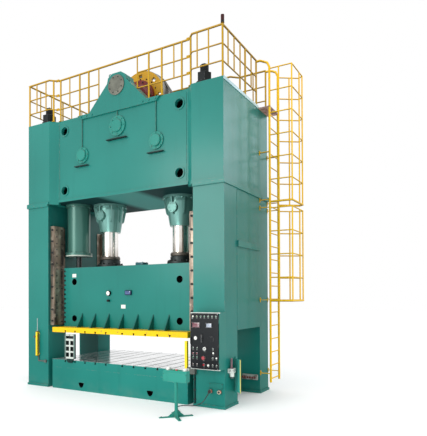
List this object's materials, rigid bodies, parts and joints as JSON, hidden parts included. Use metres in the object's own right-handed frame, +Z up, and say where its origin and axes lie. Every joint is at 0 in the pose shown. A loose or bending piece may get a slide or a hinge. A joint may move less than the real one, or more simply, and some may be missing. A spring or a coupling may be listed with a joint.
{
  "type": "straight-side mechanical press",
  "caption": "Tall straight-side press: slotted bed and slide between two uprights, geared crown with flywheel, railed deck, caged ladder, control panel and two-hand stand.",
  "frame": {"origin": "on the floor under the middle of the bed", "axes": "+X to the operator's right, +Y from the operator's side to the back, +Z up"},
  "size_m": [6.082, 3.5258, 7.3232],
  "materials": {
    "frame_paint": "satin",
    "rail_paint": "satin",
    "bolster_steel": "machined",
    "ground_steel": "polished",
    "dark_steel": "oiled",
    "gib_bronze": "worn",
    "gear_steel": "oiled",
    "flywheel_paint": "satin",
    "clutch_paint": "satin",
    "motor_paint": "satin",
    "belt_rubber": "matte",
    "oil_copper": "satin",
    "panel_black": "satin",
    "button_red": "gloss",
    "button_white": "gloss",
    "lamp_lens": "gloss",
    "cable_rubber": "matte",
    "socket_red": "gloss",
    "curtain_yellow": "satin",
    "valve_white": "satin",
    "prop_white": "worn",
    "display_blue": "gloss"
  },
  "bodies": {
    "frame": {"bed": "frame_paint", "bolster": "bolster_steel", "right_upright": "frame_paint", "left_upright": "frame_paint", "crown_right_box": "frame_paint", "crown_left_box": "frame_paint", "crown_housing": "frame_paint", "crown_deck": "frame_paint", "tie_rods": "dark_steel", "tie_rod_nuts": "dark_steel", "right_gib_rails": "gib_bronze", "left_gib_rails": "gib_bronze", "right_plunger_guide": "frame_paint", "left_plunger_guide": "frame_paint", "right_balance_cylinder": "frame_paint", "left_balance_cylinder": "frame_paint", "eccentric_pins": "frame_paint", "main_motor": "motor_paint", "drive_belts": "belt_rubber", "gear_housing": "frame_paint", "gear_housing_cover": "frame_paint", "centre_shaft_cap": "frame_paint", "oil_pipes": "oil_copper", "right_railing": "rail_paint", "left_railing": "rail_paint", "middle_railings": "rail_paint", "ladder": "rail_paint", "ladder_cages": "rail_paint", "control_box": "frame_paint", "stand_frame": "frame_paint", "stand_box": "frame_paint", "stand_cable": "cable_rubber", "cable_sockets": "socket_red", "light_curtain_bars": "curtain_yellow", "air_service_unit": "valve_white", "safety_prop": "prop_white"},
    "slide_body": {"slide": "frame_paint", "right_plunger": "ground_steel", "left_plunger": "ground_steel", "right_balance_rod": "ground_steel", "left_balance_rod": "ground_steel", "slide_instruments": "display_blue"},
    "right_eccentric": {"right_eccentric_gear": "gear_steel"},
    "left_eccentric": {"left_eccentric_gear": "gear_steel"},
    "right_rod": {"right_connecting_rod": "gear_steel"},
    "left_rod": {"left_connecting_rod": "gear_steel"},
    "middle_shaft": {"middle_gear_shaft": "gear_steel"},
    "drive": {"drive_shaft": "gear_steel"},
    "flywheel_body": {"flywheel": "flywheel_paint", "clutch_housing": "clutch_paint"},
    "motor_shaft": {"motor_pulley": "dark_steel"},
    "panel_door": {"control_door": "panel_black", "panel_lamps": "lamp_lens"},
    "stop_mushroom": {"emergency_stop": "button_red"},
    "stop_push": {"stop_button": "button_red"},
    "start_push": {"start_button": "button_white"},
    "selector": {"mode_selector": "button_white"},
    "left_palm": {"left_palm_button": "button_white"},
    "right_palm": {"right_palm_button": "button_white"},
    "guard": {"side_guard_door": "frame_paint"}
  },
  "joints": [
    {"name": "slide_stroke", "type": "slide", "parent": "frame", "child": "slide_body", "axis": [0, 0, 1], "range_m": [0, 0.25]},
    {"name": "right_eccentric_turn", "type": "hinge", "parent": "frame", "child": "right_eccentric", "pos_m": [1.018, 0, 5.28], "axis": [0, 1, 0], "range_deg": [-1, 180.5]},
    {"name": "left_eccentric_turn", "type": "hinge", "parent": "frame", "child": "left_eccentric", "pos_m": [-1.018, 0, 5.28], "axis": [0, 1, 0], "range_deg": [-1, 180.5]},
    {"name": "right_rod_swing", "type": "hinge", "parent": "right_eccentric", "child": "right_rod", "pos_m": [1.018, 0, 5.155], "axis": [0, 1, 0], "range_deg": [-180.5, 1]},
    {"name": "left_rod_swing", "type": "hinge", "parent": "left_eccentric", "child": "left_rod", "pos_m": [-1.018, 0, 5.155], "axis": [0, 1, 0], "range_deg": [-180.5, 1]},
    {"name": "middle_shaft_turn", "type": "hinge", "parent": "frame", "child": "middle_shaft", "pos_m": [0, 0, 5.76586], "axis": [0, 1, 0], "range_deg": [-448, 1]},
    {"name": "drive_shaft_turn", "type": "hinge", "parent": "frame", "child": "drive", "pos_m": [0, 0, 6.63586], "axis": [0, 1, 0], "range_deg": [-1, 1841]},
    {"name": "flywheel_spin", "type": "hinge", "parent": "frame", "child": "flywheel_body", "pos_m": [0, 0, 6.63586], "axis": [0, 1, 0], "continuous": true},
    {"name": "motor_shaft_spin", "type": "hinge", "parent": "frame", "child": "motor_shaft", "pos_m": [0.95, 0, 6.15], "axis": [0, 1, 0], "continuous": true},
    {"name": "panel_door_swing", "type": "hinge", "parent": "frame", "child": "panel_door", "pos_m": [2.659, -1.316, 1.27], "axis": [0, 0, 1], "range_deg": [0, 100]},
    {"name": "emergency_stop_press", "type": "slide", "parent": "panel_door", "child": "stop_mushroom", "axis": [0, 1, 0], "range_m": [0, 0.006], "stiffness_N_per_m": 1500, "springref_m": -0.006},
    {"name": "stop_press", "type": "slide", "parent": "panel_door", "child": "stop_push", "axis": [0, 1, 0], "range_m": [0, 0.004], "stiffness_N_per_m": 800, "springref_m": -0.004},
    {"name": "start_press", "type": "slide", "parent": "panel_door", "child": "start_push", "axis": [0, 1, 0], "range_m": [0, 0.004], "stiffness_N_per_m": 800, "springref_m": -0.004},
    {"name": "mode_selector_turn", "type": "hinge", "parent": "panel_door", "child": "selector", "pos_m": [2.364, -1.33, 1.133], "axis": [0, 1, 0], "range_deg": [-60, 60]},
    {"name": "left_palm_press", "type": "slide", "parent": "frame", "child": "left_palm", "axis": [0, 0, -1], "range_m": [0, 0.008], "stiffness_N_per_m": 3000, "springref_m": -0.01},
    {"name": "right_palm_press", "type": "slide", "parent": "frame", "child": "right_palm", "axis": [0, 0, -1], "range_m": [0, 0.008], "stiffness_N_per_m": 3000, "springref_m": -0.01},
    {"name": "side_guard_swing", "type": "hinge", "parent": "frame", "child": "guard", "pos_m": [2.653, -0.64, 0.58], "axis": [0, 0, 1], "range_deg": [-8, 132]}
  ],
  "couplings": [
    {"joint": "right_eccentric_turn", "follows": "slide_stroke", "rad_per_m": 12.566},
    {"joint": "left_eccentric_turn", "follows": "slide_stroke", "rad_per_m": 12.566},
    {"joint": "right_rod_swing", "follows": "slide_stroke", "rad_per_m": -12.566},
    {"joint": "left_rod_swing", "follows": "slide_stroke", "rad_per_m": -12.566},
    {"joint": "middle_shaft_turn", "follows": "slide_stroke", "rad_per_m": -31.183},
    {"joint": "drive_shaft_turn", "follows": "slide_stroke", "rad_per_m": 128.4},
    {"joint": "motor_shaft_spin", "follows": "flywheel_spin", "ratio": 5.4167}
  ]
}
